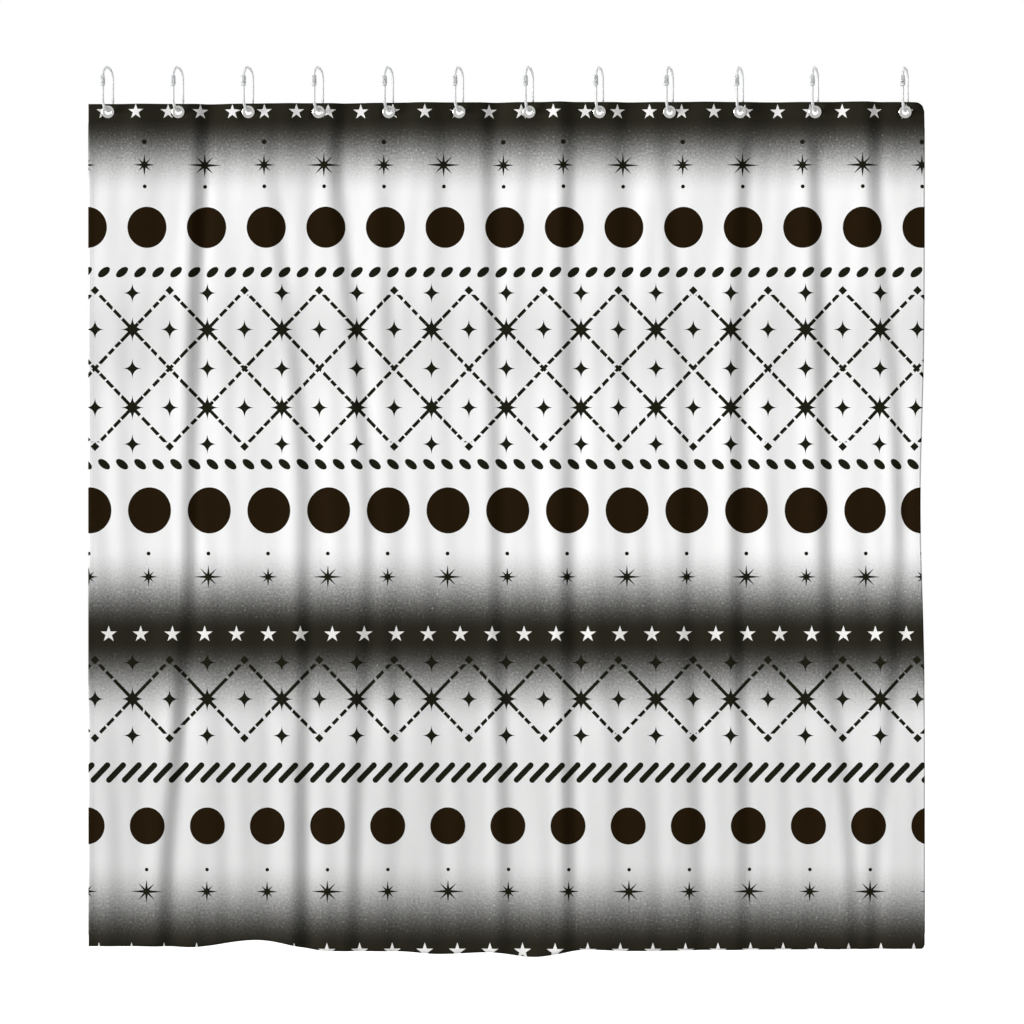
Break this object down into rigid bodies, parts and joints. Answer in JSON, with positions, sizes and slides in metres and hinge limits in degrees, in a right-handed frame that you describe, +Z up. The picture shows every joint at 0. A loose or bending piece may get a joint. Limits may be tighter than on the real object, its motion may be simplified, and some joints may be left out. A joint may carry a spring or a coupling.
{
  "type": "shower curtain",
  "caption": "Square printed cloth shower curtain with metal eyelets along the top edge, hung on sprung plastic snap rings that slide along a rod.",
  "frame": {"origin": "on the axis of the rod that the rings hang on, at the middle of the curtain's width", "axes": "+X along the rod to the right, +Z up, and the printed face looks along -Y"},
  "size_m": [1.811, 0.0526, 1.9105],
  "materials": {
    "printed_cloth": "matte",
    "cloth_back": "matte",
    "header_tape": "matte",
    "eyelet_metal": "polished",
    "washer_metal": "satin",
    "hook_plastic": "satin"
  },
  "bodies": {
    "curtain": {"curtain_panel": "printed_cloth", "header_fold": "cloth_back", "header_tape": "header_tape", "bottom_hem": "cloth_back", "left_hem": "cloth_back", "right_hem": "cloth_back", "eyelet_01": "eyelet_metal", "washer_01": "washer_metal"},
    "eyelet_set_02": {"eyelet_02": "eyelet_metal", "washer_02": "washer_metal"},
    "eyelet_set_03": {"eyelet_03": "eyelet_metal", "washer_03": "washer_metal"},
    "eyelet_set_04": {"eyelet_04": "eyelet_metal", "washer_04": "washer_metal"},
    "eyelet_set_05": {"eyelet_05": "eyelet_metal", "washer_05": "washer_metal"},
    "eyelet_set_06": {"eyelet_06": "eyelet_metal", "washer_06": "washer_metal"},
    "eyelet_set_07": {"eyelet_07": "eyelet_metal", "washer_07": "washer_metal"},
    "eyelet_set_08": {"eyelet_08": "eyelet_metal", "washer_08": "washer_metal"},
    "eyelet_set_09": {"eyelet_09": "eyelet_metal", "washer_09": "washer_metal"},
    "eyelet_set_10": {"eyelet_10": "eyelet_metal", "washer_10": "washer_metal"},
    "eyelet_set_11": {"eyelet_11": "eyelet_metal", "washer_11": "washer_metal"},
    "eyelet_set_12": {"eyelet_12": "eyelet_metal", "washer_12": "washer_metal"},
    "ring_01": {"hook_01": "hook_plastic"},
    "ring_arm_01": {"hook_arm_01": "hook_plastic"},
    "ring_02": {"hook_02": "hook_plastic"},
    "ring_arm_02": {"hook_arm_02": "hook_plastic"},
    "ring_03": {"hook_03": "hook_plastic"},
    "ring_arm_03": {"hook_arm_03": "hook_plastic"},
    "ring_04": {"hook_04": "hook_plastic"},
    "ring_arm_04": {"hook_arm_04": "hook_plastic"},
    "ring_05": {"hook_05": "hook_plastic"},
    "ring_arm_05": {"hook_arm_05": "hook_plastic"},
    "ring_06": {"hook_06": "hook_plastic"},
    "ring_arm_06": {"hook_arm_06": "hook_plastic"},
    "ring_07": {"hook_07": "hook_plastic"},
    "ring_arm_07": {"hook_arm_07": "hook_plastic"},
    "ring_08": {"hook_08": "hook_plastic"},
    "ring_arm_08": {"hook_arm_08": "hook_plastic"},
    "ring_09": {"hook_09": "hook_plastic"},
    "ring_arm_09": {"hook_arm_09": "hook_plastic"},
    "ring_10": {"hook_10": "hook_plastic"},
    "ring_arm_10": {"hook_arm_10": "hook_plastic"},
    "ring_11": {"hook_11": "hook_plastic"},
    "ring_arm_11": {"hook_arm_11": "hook_plastic"},
    "ring_12": {"hook_12": "hook_plastic"},
    "ring_arm_12": {"hook_arm_12": "hook_plastic"}
  },
  "joints": [
    {"name": "draw", "type": "slide", "parent": "curtain", "child": "eyelet_set_12", "axis": [-1, 0, 0], "range_m": [0, 1.2953], "deforming": ["curtain_panel", "header_fold", "header_tape", "bottom_hem", "left_hem", "right_hem"]},
    {"name": "draw_02", "type": "slide", "parent": "curtain", "child": "eyelet_set_02", "axis": [-1, 0, 0], "range_m": [0, 0.1142]},
    {"name": "draw_03", "type": "slide", "parent": "curtain", "child": "eyelet_set_03", "axis": [-1, 0, 0], "range_m": [0, 0.2282]},
    {"name": "draw_04", "type": "slide", "parent": "curtain", "child": "eyelet_set_04", "axis": [-1, 0, 0], "range_m": [0, 0.3423]},
    {"name": "draw_05", "type": "slide", "parent": "curtain", "child": "eyelet_set_05", "axis": [-1, 0, 0], "range_m": [0, 0.4564]},
    {"name": "draw_06", "type": "slide", "parent": "curtain", "child": "eyelet_set_06", "axis": [-1, 0, 0], "range_m": [0, 0.5705]},
    {"name": "draw_07", "type": "slide", "parent": "curtain", "child": "eyelet_set_07", "axis": [-1, 0, 0], "range_m": [0, 0.6845]},
    {"name": "draw_08", "type": "slide", "parent": "curtain", "child": "eyelet_set_08", "axis": [-1, 0, 0], "range_m": [0, 0.7986]},
    {"name": "draw_09", "type": "slide", "parent": "curtain", "child": "eyelet_set_09", "axis": [-1, 0, 0], "range_m": [0, 0.9127]},
    {"name": "draw_10", "type": "slide", "parent": "curtain", "child": "eyelet_set_10", "axis": [-1, 0, 0], "range_m": [0, 1.0268]},
    {"name": "draw_11", "type": "slide", "parent": "curtain", "child": "eyelet_set_11", "axis": [-1, 0, 0], "range_m": [0, 1.1491]},
    {"name": "swing_01", "type": "hinge", "parent": "curtain", "child": "ring_01", "pos_m": [-0.8635, 0, -0.04555], "axis": [0.9397, -0.342, 0], "range_deg": [-80, 80]},
    {"name": "open_01", "type": "hinge", "parent": "ring_01", "child": "ring_arm_01", "pos_m": [-0.85442, 0.02495, -0.04555], "axis": [-0.9397, 0.342, 0], "range_deg": [0, 50], "stiffness_Nm_per_rad": 0.05},
    {"name": "swing_02", "type": "hinge", "parent": "eyelet_set_02", "child": "ring_02", "pos_m": [-0.71141, 0, -0.04555], "axis": [0.9397, -0.342, 0], "range_deg": [-80, 80]},
    {"name": "open_02", "type": "hinge", "parent": "ring_02", "child": "ring_arm_02", "pos_m": [-0.70233, 0.02495, -0.04555], "axis": [-0.9397, 0.342, 0], "range_deg": [0, 50], "stiffness_Nm_per_rad": 0.05},
    {"name": "swing_03", "type": "hinge", "parent": "eyelet_set_03", "child": "ring_03", "pos_m": [-0.55932, 0, -0.04555], "axis": [0.9397, -0.342, 0], "range_deg": [-80, 80]},
    {"name": "open_03", "type": "hinge", "parent": "ring_03", "child": "ring_arm_03", "pos_m": [-0.55024, 0.02495, -0.04555], "axis": [-0.9397, 0.342, 0], "range_deg": [0, 50], "stiffness_Nm_per_rad": 0.05},
    {"name": "swing_04", "type": "hinge", "parent": "eyelet_set_04", "child": "ring_04", "pos_m": [-0.40723, 0, -0.04555], "axis": [0.9397, -0.342, 0], "range_deg": [-80, 80]},
    {"name": "open_04", "type": "hinge", "parent": "ring_04", "child": "ring_arm_04", "pos_m": [-0.39815, 0.02495, -0.04555], "axis": [-0.9397, 0.342, 0], "range_deg": [0, 50], "stiffness_Nm_per_rad": 0.05},
    {"name": "swing_05", "type": "hinge", "parent": "eyelet_set_05", "child": "ring_05", "pos_m": [-0.25514, 0, -0.04555], "axis": [0.9397, -0.342, 0], "range_deg": [-80, 80]},
    {"name": "open_05", "type": "hinge", "parent": "ring_05", "child": "ring_arm_05", "pos_m": [-0.24606, 0.02495, -0.04555], "axis": [-0.9397, 0.342, 0], "range_deg": [0, 50], "stiffness_Nm_per_rad": 0.05},
    {"name": "swing_06", "type": "hinge", "parent": "eyelet_set_06", "child": "ring_06", "pos_m": [-0.10304, 0, -0.04555], "axis": [0.9397, -0.342, 0], "range_deg": [-80, 80]},
    {"name": "open_06", "type": "hinge", "parent": "ring_06", "child": "ring_arm_06", "pos_m": [-0.09397, 0.02495, -0.04555], "axis": [-0.9397, 0.342, 0], "range_deg": [0, 50], "stiffness_Nm_per_rad": 0.05},
    {"name": "swing_07", "type": "hinge", "parent": "eyelet_set_07", "child": "ring_07", "pos_m": [0.04904, 0, -0.04555], "axis": [0.9397, -0.342, 0], "range_deg": [-80, 80]},
    {"name": "open_07", "type": "hinge", "parent": "ring_07", "child": "ring_arm_07", "pos_m": [0.05813, 0.02495, -0.04555], "axis": [-0.9397, 0.342, 0], "range_deg": [0, 50], "stiffness_Nm_per_rad": 0.05},
    {"name": "swing_08", "type": "hinge", "parent": "eyelet_set_08", "child": "ring_08", "pos_m": [0.20114, 0, -0.04555], "axis": [0.9397, -0.342, 0], "range_deg": [-80, 80]},
    {"name": "open_08", "type": "hinge", "parent": "ring_08", "child": "ring_arm_08", "pos_m": [0.21022, 0.02495, -0.04555], "axis": [-0.9397, 0.342, 0], "range_deg": [0, 50], "stiffness_Nm_per_rad": 0.05},
    {"name": "swing_09", "type": "hinge", "parent": "eyelet_set_09", "child": "ring_09", "pos_m": [0.35323, 0, -0.04555], "axis": [0.9397, -0.342, 0], "range_deg": [-80, 80]},
    {"name": "open_09", "type": "hinge", "parent": "ring_09", "child": "ring_arm_09", "pos_m": [0.36231, 0.02495, -0.04555], "axis": [-0.9397, 0.342, 0], "range_deg": [0, 50], "stiffness_Nm_per_rad": 0.05},
    {"name": "swing_10", "type": "hinge", "parent": "eyelet_set_10", "child": "ring_10", "pos_m": [0.50532, 0, -0.04555], "axis": [0.9397, -0.342, 0], "range_deg": [-80, 80]},
    {"name": "open_10", "type": "hinge", "parent": "ring_10", "child": "ring_arm_10", "pos_m": [0.5144, 0.02495, -0.04555], "axis": [-0.9397, 0.342, 0], "range_deg": [0, 50], "stiffness_Nm_per_rad": 0.05},
    {"name": "swing_11", "type": "hinge", "parent": "eyelet_set_11", "child": "ring_11", "pos_m": [0.66841, 0, -0.04555], "axis": [0.9397, -0.342, 0], "range_deg": [-80, 80]},
    {"name": "open_11", "type": "hinge", "parent": "ring_11", "child": "ring_arm_11", "pos_m": [0.67749, 0.02495, -0.04555], "axis": [-0.9397, 0.342, 0], "range_deg": [0, 50], "stiffness_Nm_per_rad": 0.05},
    {"name": "swing_12", "type": "hinge", "parent": "eyelet_set_12", "child": "ring_12", "pos_m": [0.8635, 0, -0.04555], "axis": [0.9397, -0.342, 0], "range_deg": [-80, 80]},
    {"name": "open_12", "type": "hinge", "parent": "ring_12", "child": "ring_arm_12", "pos_m": [0.87258, 0.02495, -0.04555], "axis": [-0.9397, 0.342, 0], "range_deg": [0, 50], "stiffness_Nm_per_rad": 0.05}
  ],
  "couplings": [
    {"joint": "draw_02", "follows": "draw", "ratio": 0.088067},
    {"joint": "draw_03", "follows": "draw", "ratio": 0.17613},
    {"joint": "draw_04", "follows": "draw", "ratio": 0.2642},
    {"joint": "draw_05", "follows": "draw", "ratio": 0.35227},
    {"joint": "draw_06", "follows": "draw", "ratio": 0.44033},
    {"joint": "draw_07", "follows": "draw", "ratio": 0.5284},
    {"joint": "draw_08", "follows": "draw", "ratio": 0.61647},
    {"joint": "draw_09", "follows": "draw", "ratio": 0.70453},
    {"joint": "draw_10", "follows": "draw", "ratio": 0.7926},
    {"joint": "draw_11", "follows": "draw", "ratio": 0.88704}
  ]
}
